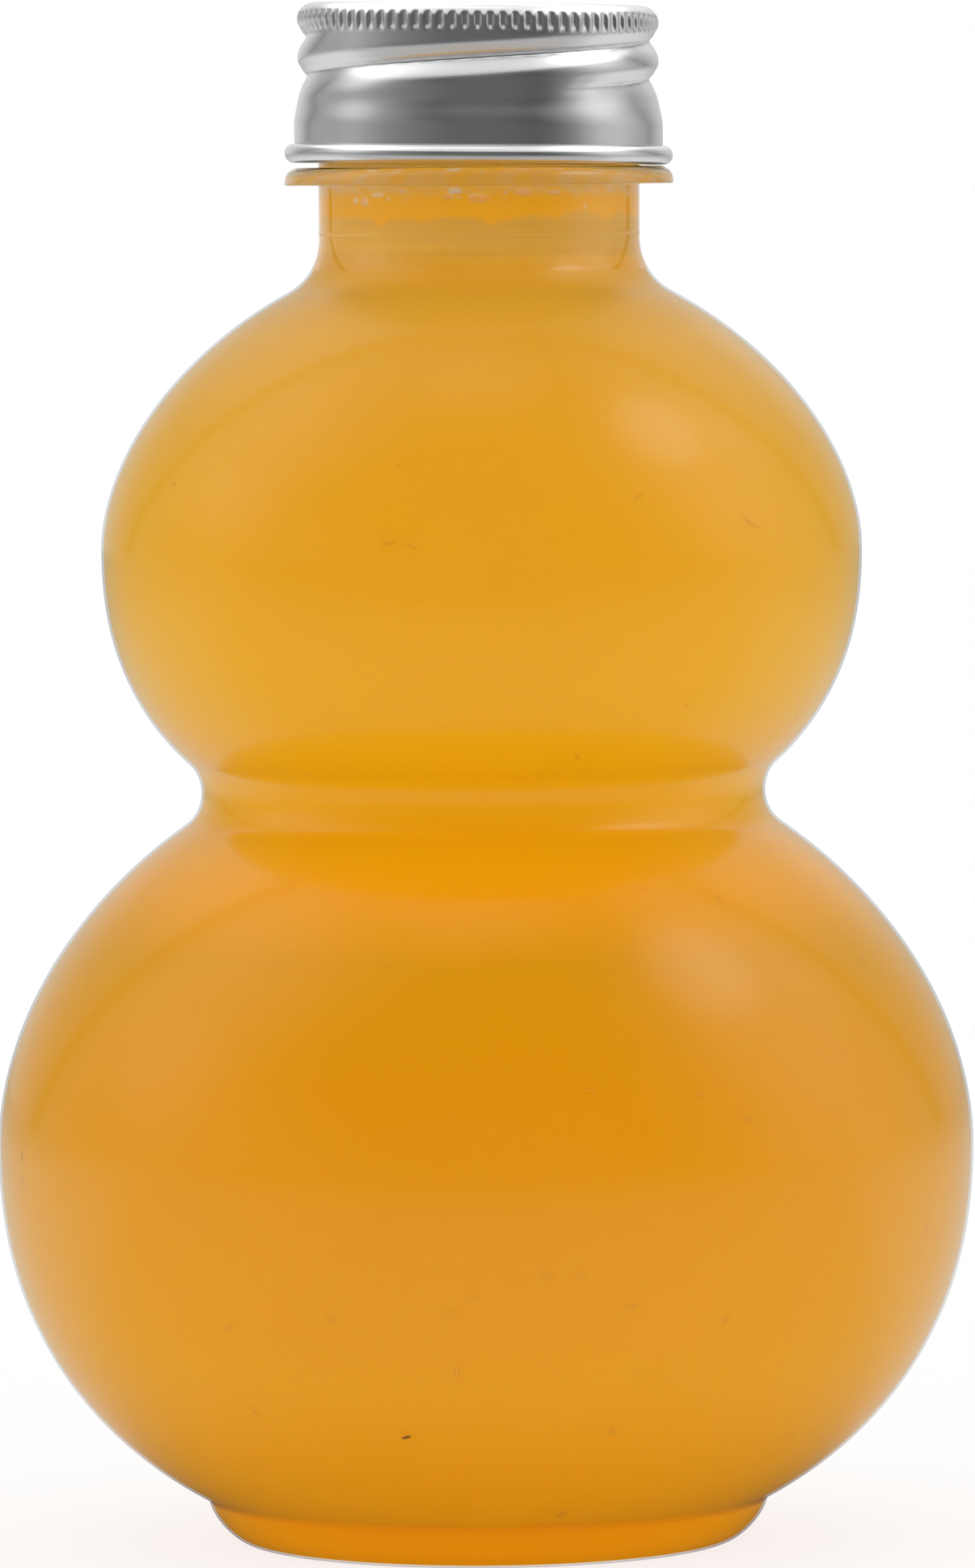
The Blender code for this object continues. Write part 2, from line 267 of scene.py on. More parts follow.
def mixColour(tree, share, first, second, way="MIX"):
    # first turning to second as share goes from 0 to 1, or multiplied by it
    node = tree.nodes.new("ShaderNodeMix")
    node.data_type = "RGBA"
    node.blend_type = way
    give(tree, node.inputs[0], share)
    give(tree, node.inputs[6], first)  # the colour sockets
    give(tree, node.inputs[7], second)
    return node.outputs[2]


def noise(tree, place, scale, detail=3.0, roughness=0.5, stretch=(1, 1, 1)):
    # a noise level from 0 to 1, finer as scale grows, in noises per metre
    mapping = tree.nodes.new("ShaderNodeMapping")
    mapping.inputs["Scale"].default_value = stretch
    give(tree, mapping.inputs["Vector"], place)
    node = tree.nodes.new("ShaderNodeTexNoise")
    node.inputs["Scale"].default_value = scale
    node.inputs["Detail"].default_value = detail
    node.inputs["Roughness"].default_value = roughness
    tree.links.new(mapping.outputs[0], node.inputs["Vector"])
    return node.outputs[0]


def objectPlace(tree):
    # the place on the piece, and its three parts
    place = tree.nodes.new("ShaderNodeTexCoord").outputs["Object"]
    parts = tree.nodes.new("ShaderNodeSeparateXYZ")
    tree.links.new(place, parts.inputs[0])
    return place, parts.outputs


def evenColour(level):
    # a grey as a colour
    return (level, level, level, 1.0)


def mixShader(tree, share, first, second):
    # first turning to second as share goes from 0 to 1
    node = tree.nodes.new("ShaderNodeMixShader")
    give(tree, node.inputs[0], share)
    tree.links.new(first, node.inputs[1])
    tree.links.new(second, node.inputs[2])
    return node.outputs[0]


def principled(tree, settings):
    # the usual surface: each named socket takes a plain value or another node's output
    shader = tree.nodes.new("ShaderNodeBsdfPrincipled")
    for name, value in settings.items():
        give(tree, shader.inputs[name], value)
    return shader.outputs[0]


def bump(tree, height, strength, distance):
    # a relief that only the shading sees
    node = tree.nodes.new("ShaderNodeBump")
    node.inputs["Strength"].default_value = strength
    node.inputs["Distance"].default_value = distance
    tree.links.new(height, node.inputs["Height"])
    return node.outputs[0]


plastic = {
    "ior": 1.57,
    "roughness": 0.14,
    "haze": 0.36,  # roughness of the softer part of its gloss
    "hazeShare": 0.35,
    "shoulderHaze": (0.1295, 0.133),  # the shoulder, less stretched, is hazy all over
    "edgeGrey": 0.2,  # how much its own greyness takes away where it is seen edge on
    "neckRoughness": 0.04,
    "neckTint": srgb(250, 250, 248),
    "rippleDepth": 0.00002,
    "rippleStrength": 0.1,
    "rippleScale": 90,
}


def plasticBump(tree):
    # the slow ripple of a blown wall
    place, _ = objectPlace(tree)
    ripple = noise(tree, place, plastic["rippleScale"])
    return bump(tree, ripple, plastic["rippleStrength"], plastic["rippleDepth"])


def makeThinPlastic():
    # a wall too thin to bend what is behind it: clear from inside, and outside a mirror by Fresnel's law,
    # sharp and hazy at once; what shows through fades as 1 - g (1 - cos v)^2, v the angle that it is seen at
    material, tree, output = newMaterial("clear plastic, thin")
    fresnel = tree.nodes.new("ShaderNodeFresnel")
    fresnel.inputs["IOR"].default_value = plastic["ior"]
    outward = maths(tree, "SUBTRACT", 1.0, tree.nodes.new("ShaderNodeNewGeometry").outputs["Backfacing"])
    share = maths(tree, "MULTIPLY", fresnel.outputs[0], outward)
    edgeOn = tree.nodes.new("ShaderNodeLayerWeight").outputs["Facing"]
    grey = maths(tree, "MULTIPLY", maths(tree, "POWER", edgeOn, 2.0), plastic["edgeGrey"])
    through = maths(tree, "SUBTRACT", 1.0, maths(tree, "MULTIPLY", grey, outward))
    clear = tree.nodes.new("ShaderNodeBsdfTransparent")
    tree.links.new(through, clear.inputs["Color"])
    relief = plasticBump(tree)
    lobes = []
    for roughness in (plastic["roughness"], plastic["haze"]):
        lobe = tree.nodes.new("ShaderNodeBsdfAnisotropic")
        lobe.inputs["Roughness"].default_value = roughness
        tree.links.new(relief, lobe.inputs["Normal"])
        lobes.append(lobe.outputs[0])
    _, (_, _, z) = objectPlace(tree)
    hazy = eased(tree, z, *plastic["shoulderHaze"], plastic["hazeShare"], 1.0)
    gloss = mixShader(tree, hazy, *lobes)
    tree.links.new(mixShader(tree, share, clear.outputs[0], gloss), output.inputs["Surface"])
    return material


def makeThickPlastic():
    # the neck's heavy wall bends what is behind it, and lets the studio's light through to the drink
    material, tree, output = newMaterial("clear plastic, thick")
    glass = principled(
        tree,
        {
            "Base Color": plastic["neckTint"],
            "Roughness": plastic["neckRoughness"],
            "IOR": plastic["ior"],
            "Transmission Weight": 1.0,
            "Normal": plasticBump(tree),
        },
    )
    clear = tree.nodes.new("ShaderNodeBsdfTransparent")
    path = tree.nodes.new("ShaderNodeLightPath")
    lit = maths(tree, "MAXIMUM", path.outputs["Is Shadow Ray"], path.outputs["Is Diffuse Ray"])
    tree.links.new(mixShader(tree, lit, glass, clear.outputs[0]), output.inputs["Surface"])
    return material


juice = {
    "colourHeight": 0.145,  # the places of the colours are shares of this height
    # colours by height: the drink's own tone, except the bright stops at 0.5 and 0.57, at the waist crease,
    # which are painted light
    "coloursAndPaintedLight": [
        (0.0, srgb(222, 136, 8)),
        (0.012, srgb(232, 146, 8)),
        (0.05, srgb(230, 148, 8)),
        (0.15, srgb(230, 157, 10)),
        (0.36, srgb(227, 152, 6)),
        (0.45, srgb(223, 153, 4)),
        (0.5, srgb(244, 162, 4)),
        (0.57, srgb(245, 177, 9)),
        (0.63, srgb(236, 173, 18)),
        (0.72, srgb(232, 167, 22)),
        (0.88, srgb(229, 163, 34)),
        (1.0, srgb(229, 163, 44)),
    ],
    "clearBand": srgb(229, 174, 70),
    "clearLow": 0.1382,
    "clearFade": 0.0022,
    "pulp": srgb(246, 174, 34),
    "pulpLow": 0.1426,
    "pulpWave": 0.0022,
    "pulpFade": 0.00045,
    "waves": {"scale": 190, "detail": 4.0, "roughness": 0.62, "stretch": (1, 1, 0.35)},
    "froth": srgb(222, 196, 156),
    "mottle": 0.035,
    "clouds": {"scale": 28, "detail": 4.0},
    "streaks": {"scale": 160, "stretch": (0.1, 0.1, 3.5)},  # long and level, in the clear band
    "streakRange": (0.35, 0.65),
    "streakTones": (0.94, 1.05),
    "streaksUnder": 0.002,  # they come in from this far under the band's foot to this far over it
    "streaksOver": 0.001,
    "roughness": 0.4,
    "cloudy": 0.65,  # how much of the light wanders inside before it comes out
    "glow": 0.01,  # how far red wanders, and how far each colour does as a share of that
    "wander": (1.0, 0.5, 0.12),
}


def makeJuice():
    # cloudy drink: paler above, deeper below, and brighter at the waist crease, which is painted light
    # against the shade there; a clearer band in the neck and floating pulp over it
    j = juice
    material, tree, output = newMaterial("cloudy orange drink")
    place, (_, _, z) = objectPlace(tree)
    # the ramp by height carries painted light at the waist crease
    colour = ramp(tree, maths(tree, "DIVIDE", z, j["colourHeight"]), j["coloursAndPaintedLight"])
    cloud = noise(tree, place, **j["clouds"])
    tone = maths(tree, "MULTIPLY_ADD", cloud, j["mottle"] * 2, 1 - j["mottle"])
    colour = mixColour(tree, 1.0, colour, tone, "MULTIPLY")
    wave = noise(tree, place, **j["waves"])
    lift = j["pulpWave"]
    waved = maths(tree, "MULTIPLY_ADD", wave, lift * 2, maths(tree, "SUBTRACT", z, lift))
    low, fade = j["clearLow"], j["clearFade"]
    colour = mixColour(tree, eased(tree, waved, low - fade, low + fade), colour, j["clearBand"])
    streak = eased(tree, noise(tree, place, **j["streaks"]), *j["streakRange"], *j["streakTones"])
    neck = eased(tree, z, low - j["streaksUnder"], low + j["streaksOver"])
    colour = mixColour(tree, neck, colour, mixColour(tree, 1.0, colour, streak, "MULTIPLY"))
    low, fade = j["pulpLow"], j["pulpFade"]
    colour = mixColour(tree, eased(tree, waved, low - fade, low + fade), colour, j["pulp"])
    # froth paleness, with painted sheen towards the sides of the neck as seen from the camera
    pale = tree.nodes.new("ShaderNodeAttribute")
    pale.attribute_name = "froth"
    colour = mixColour(tree, pale.outputs["Fac"], colour, j["froth"])
    surface = principled(
        tree,
        {
            "Base Color": colour,
            "Roughness": j["roughness"],
            "Specular IOR Level": 0.0,
            "Subsurface Weight": j["cloudy"],
            "Subsurface Radius": j["wander"],
            "Subsurface Scale": j["glow"],
        },
    )
    tree.links.new(surface, output.inputs["Surface"])
    return material


bitFinish = {
    "pale": srgb(236, 162, 34),
    "dark": srgb(88, 48, 12),
    "patches": {"scale": 2500, "detail": 2.0},
    "patchRange": (0.3, 0.7),
    "patchTones": (0.7, 1.0),
    "roughness": 0.5,
}


def makeBitMaterial():
    # pulp and fibre: the drink's own orange, going to brown as a bit is darker
    b = bitFinish
    material, tree, output = newMaterial("pulp and fibre")
    dark = tree.nodes.new("ShaderNodeAttribute")
    dark.attribute_name = "darkness"
    place, _ = objectPlace(tree)
    patch = eased(tree, noise(tree, place, **b["patches"]), *b["patchRange"], *b["patchTones"])
    share = maths(tree, "MULTIPLY", dark.outputs["Fac"], patch)
    colour = mixColour(tree, share, b["pale"], b["dark"])
    surface = principled(
        tree, {"Base Color": colour, "Roughness": b["roughness"], "Specular IOR Level": 0.0}
    )
    tree.links.new(surface, output.inputs["Surface"])
    return material


metal = {
    "colour": srgb(229, 230, 231),
    "roughness": 0.26,
    "clouds": {"scale": 160},
    "cloudDepth": 0.04,  # how far the clouds take the roughness up and down
    "grain": {"scale": 900, "detail": 2.0, "stretch": (1, 1, 5)},
    "grainStrength": 0.25,
    "grainDepth": 0.000006,
}


def makeMetal():
    # satin sheet: a fine grain drawn round the cap, and a few duller clouds
    m = metal
    material, tree, output = newMaterial("satin aluminium")
    place, _ = objectPlace(tree)
    cloud = noise(tree, place, **m["clouds"])
    rough = maths(tree, "MULTIPLY_ADD", cloud, 2 * m["cloudDepth"], m["roughness"] - m["cloudDepth"])
    grain = bump(tree, noise(tree, place, **m["grain"]), m["grainStrength"], m["grainDepth"])
    surface = principled(
        tree, {"Base Color": m["colour"], "Metallic": 1.0, "Roughness": rough, "Normal": grain}
    )
    tree.links.new(surface, output.inputs["Surface"])
    return material


foam = {
    "pale": srgb(238, 238, 234),
    "deep": srgb(222, 222, 216),
    "roughness": 0.75,
    "cellScale": 2600,
    "cellStrength": 0.4,
    "cellDepth": 0.00005,
}


def makeFoam():
    # closed-cell foam: small cells as a bump and a slight change of tone
    material, tree, output = newMaterial("white foam")
    place, _ = objectPlace(tree)
    cells = tree.nodes.new("ShaderNodeTexVoronoi")
    cells.inputs["Scale"].default_value = foam["cellScale"]
    tree.links.new(place, cells.inputs["Vector"])
    depth = cells.outputs["Distance"]
    surface = principled(
        tree,
        {
            "Base Color": mixColour(tree, depth, foam["pale"], foam["deep"]),
            "Roughness": foam["roughness"],
            "Normal": bump(tree, depth, foam["cellStrength"], foam["cellDepth"]),
        },
    )
    tree.links.new(surface, output.inputs["Surface"])
    return material


thinPlastic, thickPlastic = makeThinPlastic(), makeThickPlastic()
juiceMaterial, bitMaterial = makeJuice(), makeBitMaterial()
metalMaterial, foamMaterial = makeMetal(), makeFoam()
print("materials made")


# the bottle

bottle = {
    "standInner": 0.0236,
    "standOuter": 0.0262,
    "pushUp": 0.0062,
    "footRadius": 0.0302,
    "footHeight": 0.0044,
    "footStep": 0.0005,
    "footPower": 1.45,
    "lowerRadius": 0.0526,
    "lowerHalfHeight": 0.0449,
    "lowerBelowPower": 2.224,
    "lowerAbovePower": 1.881,
    "waistRadius": 0.0304,
    "waistFillet": 0.0044,
    "upperRadius": 0.04093,
    "upperHalfHeight": 0.0331,
    "upperBelowPower": 2.302,
    "upperAbovePower": 1.8,
    "neckRadius": 0.01725,
    "shoulderFillet": 0.0065,
    "neckLength": 0.0058,
    "ringReach": 0.00365,
    "ringThickness": 0.0019,
    "ringEdge": 0.0004,
    "ringRoundWidth": 0.0016,
    "lipRadius": 0.0004,
    "wall": 0.00028,
    "neckWall": 0.0017,
    "thickFrom": 0.1372,  # height above which the wall grows to the neck's
    "thickBy": 0.1425,
    "seamHeight": 0.141,  # where the moulds for the neck and the body met
    "seamWidth": 0.0001,
    "seamRise": 0.00005,
    "cornerSoftness": 0.0001,
    "steps": 160,
    "fineStep": 0.0002,  # between rings on the finish and the seam, and elsewhere
    "plainStep": 0.0018,
    "bend": 5.5,  # degrees that the line may turn from ring to ring
    "insideStep": 0.003,
    "insideBend": 9,
    "seamReach": 0.0006,  # fine rings reach this far from the seam, and this far under the ring's top
    "finishReach": 0.0002,
    "threadStart": 0.0003,  # how far over the ring's top a ridge may stand out
}

boreRadius = bottle["neckRadius"] - bottle["neckWall"]

thread = {
    "starts": 2,
    "lead": 0.0082,
    "depth": 0.001,
    "footWidth": 0.0016,
    "crestWidth": 0.0008,
    "topDrop": 0.0018,
    "rise": 0.0052,
    "topAngle": math.radians(257),
    "fade": math.radians(14),
}


def bodyOutline():
    # the outside from the middle of the base up to the support ring, as radius and height
    b = bottle
    dome = arc((0, 0), (b["standInner"], b["pushUp"]), 90, 0)
    reach, drop = quarterCurve(b["footRadius"] - b["standOuter"], b["footHeight"], b["footPower"])[::-1].T
    foot = np.column_stack([b["standOuter"] + reach, b["footHeight"] - drop])
    below = quarterCurve(b["lowerRadius"], b["lowerHalfHeight"], b["lowerBelowPower"])
    below = below[below[:, 0] > b["footRadius"] + b["footStep"]]
    lowerCentre = b["footHeight"] + b["footStep"] + below[-1, 1]
    above, waist = filletSeat(
        quarterCurve(b["lowerRadius"], b["lowerHalfHeight"], b["lowerAbovePower"]),
        b["waistFillet"],
        b["waistRadius"],
    )
    lower = np.concatenate([below[::-1] * (1, -1), above[1:]]) + (0, lowerCentre)
    waist = waist + (0, lowerCentre)
    under, seat = filletSeat(
        quarterCurve(b["upperRadius"], b["upperHalfHeight"], b["upperBelowPower"]),
        b["waistFillet"],
        b["waistRadius"],
    )
    over, shoulder = filletSeat(
        quarterCurve(b["upperRadius"], b["upperHalfHeight"], b["upperAbovePower"]),
        b["shoulderFillet"],
        b["neckRadius"],
    )
    upperCentre = waist[1] + seat[1]
    upper = np.concatenate([under[::-1] * (1, -1), over[1:]]) + (0, upperCentre)
    shoulder = shoulder + (0, upperCentre)
    neckFoot = np.array([b["neckRadius"], shoulder[1]])
    return np.concatenate(
        [
            dome,
            foot,
            lower,
            filletArc(lower[-1], upper[0], waist)[1:-1],
            upper,
            filletArc(upper[-1], neckFoot, shoulder)[1:],
            [neckFoot + (0, b["neckLength"])],
        ]
    )


bodyLine = bodyOutline()
ringHeight = bodyLine[-1, 1]
ringTop = ringHeight + bottle["ringThickness"]


def wallAt(height):
    # thin in the body, and growing to the neck's wall over the shoulder
    grown = easeStep(height, bottle["thickFrom"], bottle["thickBy"])
    return bottle["wall"] + grown * (bottle["neckWall"] - bottle["wall"])


def insideLine(extra=0.0):
    # the inner wall from the middle of the base to the mouth: the outside moved in by the wall
    straight = np.array([[bottle["neckRadius"], ringHeight], [bottle["neckRadius"], mouthHeight]])
    line = softened(np.concatenate([bodyLine, straight[1:]]), bottle["cornerSoftness"])
    inside = line - (wallAt(line[:, 1]) + extra)[:, None] * sideNormals(line)
    inside[0, 0] = 0
    inside[-1] = boreRadius - extra, mouthHeight
    return inside[inside[:, 1] <= mouthHeight]


def threadRise(turn, height):
    # each start is a ridge on a helix: how far a point stands out follows its height from the helix's
    t = thread
    length = t["rise"] / t["lead"] * 2 * math.pi
    rise = np.zeros(np.broadcast_shapes(turn.shape, height.shape))
    for start in range(t["starts"]):
        back = (t["topAngle"] + start * 2 * math.pi / t["starts"] - turn) % (2 * math.pi)
        middle = mouthHeight - t["topDrop"] - t["lead"] * back / (2 * math.pi)
        away = t["footWidth"] / 2 - np.abs(height - middle)
        section = easeStep(away, 0, (t["footWidth"] - t["crestWidth"]) / 2)
        ends = easeStep(back, 0, t["fade"]) * easeStep(length - back, 0, t["fade"])
        rise = np.maximum(rise, t["depth"] * section * ends)
    return rise


def makeBottle():
    # one skin: up the outside from the middle of the base, with the thread standing out of it, over the
    # mouth, and down the inside
    b = bottle
    ringRound = arc(
        (b["neckRadius"] + b["ringReach"] - b["ringRoundWidth"], ringHeight + b["ringEdge"]),
        (b["ringRoundWidth"], b["ringThickness"] - b["ringEdge"]),
        0,
        90,
    )
    lip = arc(
        (b["neckRadius"] - b["lipRadius"], mouthHeight - b["lipRadius"]),
        (b["lipRadius"], b["lipRadius"]),
        0,
        90,
    )
    ringUnder = [[b["neckRadius"] + b["ringReach"], ringHeight]]
    finishFoot = [[b["neckRadius"], ringTop]]
    bore = [[boreRadius, mouthHeight]]
    line = np.concatenate([bodyLine, ringUnder, ringRound, finishFoot, lip, bore])
    outside = softened(line, b["cornerSoftness"])
    seam = b["seamRise"] * np.exp(-(((outside[:, 1] - b["seamHeight"]) / b["seamWidth"]) ** 2))
    outside[:, 0] += seam
    heights = (outside[1:, 1] + outside[:-1, 1]) / 2
    atSeam = np.abs(heights - b["seamHeight"]) < b["seamReach"]
    fine = (heights > ringTop - b["finishReach"]) | atSeam
    outside = spaced(outside, np.where(fine, b["fineStep"], b["plainStep"]), math.radians(b["bend"]))
    inside = spaced(insideLine()[::-1], b["insideStep"], math.radians(b["insideBend"]))
    outside[0, 0] = 0
    inside[-1, 0] = 0
    turn = np.arange(b["steps"]) * 2 * math.pi / b["steps"]
    rings = [ringOf(0, outside[0, 1], 1)]
    finish = ringTop + b["threadStart"]
    for radius, height in outside[1:]:
        onFinish = height > finish and radius > b["neckRadius"] - b["lipRadius"]
        extra = threadRise(turn, np.array(height)) if onFinish else 0
        rings.append(ringOf(radius + extra, height, b["steps"]))
    rings += ringsOf(inside[1:], b["steps"])
    points, faces = skin(rings)
    made = putMesh(
        "bottle_shell", points, faces, [thinPlastic, thickPlastic], lambda z: z > b["thickFrom"]
    )
    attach(made, "bottle")
    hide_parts("bottle")


makeBottle()
print("bottle blown")


# the drink

drink = {
    "overlap": 0.00004,  # wets the wall, with no film of air between
    "climb": 0.0006,  # how far it creeps up the wall
    "climbWidth": 0.0016,
    "steps": 160,
    "neckSteps": 640,
    "neckLow": 0.1436,  # the part of the neck where bubbles and froth cling to the wall
    "neckHigh": 0.1484,
    "wallMargin": 0.0003,  # what lies this near the bore counts as on the wall
    "surfacePoints": 200,
    "fineStep": 0.00015,  # between rings where the bubbles are, and elsewhere
    "plainStep": 0.0011,
    "bend": 5,  # degrees that the line may turn from ring to ring
}

froth = {
    # turn in degrees, height, half width and half height in millimetres, depth, paleness
    "bubbles": [
        (270.0, 144.8, 1.15, 0.5, 0.3, 0.0),
        (258.2, 145.0, 0.6, 0.3, 0.25, 0.0),
        (260.9, 145.6, 0.75, 0.32, 0.15, 0.9),
        (221.9, 144.5, 0.55, 0.5, 0.3, 0.3),
        (216.8, 144.6, 0.4, 0.35, 0.25, 0.5),
        (228.5, 145.2, 0.9, 0.25, 0.15, 0.5),
        (240.0, 145.7, 0.5, 0.2, 0.15, 0.4),
        (287.4, 145.4, 0.9, 0.35, 0.25, 0.1),
        (299.9, 145.4, 0.7, 0.3, 0.2, 0.3),
        (313.9, 143.9, 0.3, 0.2, 0.1, 0.3),
        (328.3, 145.6, 0.6, 0.3, 0.04, 0.5),
        (342.6, 145.2, 0.5, 0.35, 0.04, 0.4),
    ],
    "small": 130,
    "smallReach": (0.08, 0.24),
    "smallHeights": (145.3, 0.5),
    "smallPale": (0.1, 0.8),
    "smallWidth": 1.4,  # as a share of its height, and so is its dent
    "smallDent": 0.1,
    "clumps": (3, 0.6, 7),  # waves round the neck, where the first starts, and waves of the second
    "paleEdge": 1.15,  # a bubble's paleness ends at this share of its reach, and fades over this much
    "paleFade": 0.3,
    "filmWaves": (9, 1.3, 23, 3000),  # the same as for the clumps, and how the second slants with height
    "film": 0.62,  # paleness of the film of fine froth behind the ring, and how patchy it is
    "patchy": 0.75,
    "filmFrontAndSideSheen": 0.4,  # how much of it is left at the front, where the pulp shows through; it grows paler towards the sides as seen from the camera, which is painted sheen
    "filmHeights": (0.1447, 0.1459),
    "seed": 12,
}


def frothDots():
    # the named bubbles, then small ones scattered round the neck, thickest just under the ring
    f = froth
    chance = np.random.default_rng(f["seed"])
    count = f["small"]
    turn = chance.uniform(0, 360, count)
    height = chance.normal(*f["smallHeights"], count)
    reach = chance.uniform(*f["smallReach"], count)
    waves, start, others = f["clumps"]
    clumped = 0.5 + 0.5 * np.sin(np.radians(turn) * waves + start) * np.sin(np.radians(turn) * others)
    pale = chance.uniform(*f["smallPale"], count) * clumped
    small = np.column_stack([turn, height, reach * f["smallWidth"], reach, reach * f["smallDent"], pale])
    together = np.concatenate([np.array(f["bubbles"]), small])
    return together * ([math.pi / 180] + [millimetre] * 4 + [1])


dots = frothDots()


def frothAt(turn, height, radius):
    # how deep the drink's skin dents, d sqrt(1 - n^2) at share n of a bubble's reach, and how pale it is;
    # the film's patches are products of two sines round the neck, and its paleness grows towards the sides
    # as seen from the camera, as painted sheen
    turns, heights, halfWidths, halfHeights, depths, palenesses = dots.T
    across = (turn[:, None] - turns + math.pi) % (2 * math.pi) - math.pi
    near = np.hypot(across * radius / halfWidths, (height - heights) / halfHeights)
    dent = depths * np.sqrt(np.clip(1 - near**2, 0, 1))
    pale = palenesses * easeStep(froth["paleEdge"] - near, 0, froth["paleFade"])
    waves, start, others, slant = froth["filmWaves"]
    patch = 0.5 + 0.5 * np.sin(waves * turn + start) * np.sin(others * turn + slant * height)
    film = froth["film"] * (1 - froth["patchy"] * patch) * easeStep(height, *froth["filmHeights"])
    # paler towards the sides as seen from the camera: painted sheen of the wall seen edge on, over the froth
    # film
    film *= froth["filmFrontAndSideSheen"] + (1 - froth["filmFrontAndSideSheen"]) * np.abs(np.cos(turn))
    return dent.max(axis=1), np.maximum(pale.max(axis=1), film)


def drinkLine():
    # up the inner wall to the level, then across its top, which curves up at the wall
    side = insideLine(-drink["overlap"])
    top = drinkLevel + drink["climb"]
    side = side[side[:, 1] < top]
    edge = side[-1, 0]
    radius = np.linspace(edge, 0, drink["surfacePoints"])
    surface = drinkLevel + drink["climb"] * np.exp(-(edge - radius) / drink["climbWidth"])
    return np.concatenate([side, np.column_stack([radius, surface])])


def onNeckWall(radius, height):
    # whether a point of the line is where bubbles and froth show
    onWall = radius > boreRadius - drink["wallMargin"]
    return onWall & (height > drink["neckLow"]) & (height < drink["neckHigh"])


def makeDrink():
    # the line turned round the axis; the paleness of bubbles and film, with the film's painted sheen towards
    # the sides, is kept for the material to read
    d = drink
    line = drinkLine()
    steps = np.where(onNeckWall(*line[1:].T), d["fineStep"], d["plainStep"])
    line = spaced(line, steps, math.radians(d["bend"]))
    line[0, 0] = line[-1, 0] = 0
    rings, pales = [], []
    for radius, height in line:
        steps = d["steps"] if radius > 0 else 1
        dent, pale = 0, np.zeros(steps)
        if onNeckWall(radius, height):
            steps = d["neckSteps"]
            turn = np.arange(steps) * 2 * math.pi / steps
            dent, pale = frothAt(turn, height, radius)
        rings.append(ringOf(radius - dent, height, steps))
        pales.append(pale)
    points, faces = skin(rings)
    made = putMesh("drink_body", points, faces, [juiceMaterial])
    shade = made.data.attributes.new("froth", "FLOAT", "POINT")
    shade.data.foreach_set("value", np.concatenate(pales).astype(np.float32))
    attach(made, "bottle")
    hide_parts("drink")


makeDrink()
print("drink poured")


# bits of pulp and fibre against the wall

pulpBits = {
    # turn in degrees, height, length and width in millimetres, tilt in degrees, bow, darkness
    "bits": [
        (258.8, 16.0, 1.1, 0.42, 20, 0.0, 0.9),
        (276.9, 33.7, 1.6, 0.3, -35, 0.1, 0.15),
        (280.9, 33.5, 1.2, 0.3, 40, 0.0, 0.13),
        (287.0, 30.1, 1.8, 0.3, 10, -0.1, 0.13),
        (299.7, 28.0, 1.4, 0.35, 60, 0.1, 0.13),
        (268.3, 31.4, 1.0, 0.3, -10, 0.0, 0.13),
        (266.2, 23.2, 1.3, 0.4, 75, 0.1, 0.12),
        (287.1, 16.3, 1.5, 0.4, -50, 0.0, 0.15),
        (283.6, 6.3, 1.8, 0.5, 65, 0.1, 0.13),
        (237.3, 27.5, 1.2, 0.3, 30, 0.0, 0.12),
        (237.5, 18.2, 1.2, 0.3, -60, 0.0, 0.12),
        (282.4, 52.7, 1.2, 0.3, 0, 0.1, 0.12),
        (301.9, 49.1, 1.3, 0.3, 45, 0.0, 0.12),
        (296.0, 51.9, 1.0, 0.3, -30, 0.0, 0.12),
        (256.2, 109.1, 1.6, 0.25, 15, 0.1, 0.12),
        (259.6, 108.8, 1.1, 0.25, -20, 0.0, 0.12),
        (294.6, 113.7, 1.3, 0.25, 30, 0.0, 0.12),
        (314.4, 110.6, 3.4, 0.2, -35, 0.5, 0.15),
    ],
    "small": 70,
    "smallHeights": (6, 124),
    "smallLength": (0.4, 1.1),
    "smallWidth": 0.35,  # as a share of its length
    "smallTilt": (-90, 90),
    "smallBow": (-0.1, 0.1),
    "smallDarkness": (0.05, 0.16),
    "thickness": 0.00006,
    "underLevel": 0.001,  # none lies nearer than this to the drink's top
    "stations": 9,
    "sides": 6,
    "seed": 5,
}


def bitList():
    # the named bits, then small ones scattered over the whole wall
    b = pulpBits
    chance = np.random.default_rng(b["seed"])
    count = b["small"]
    length = chance.uniform(*b["smallLength"], count)
    small = np.column_stack(
        [
            chance.uniform(0, 360, count),
            chance.uniform(*b["smallHeights"], count),
            length,
            length * b["smallWidth"],
            chance.uniform(*b["smallTilt"], count),
            chance.uniform(*b["smallBow"], count),
            chance.uniform(*b["smallDarkness"], count),
        ]
    )
    return np.concatenate([np.array(b["bits"]), small])


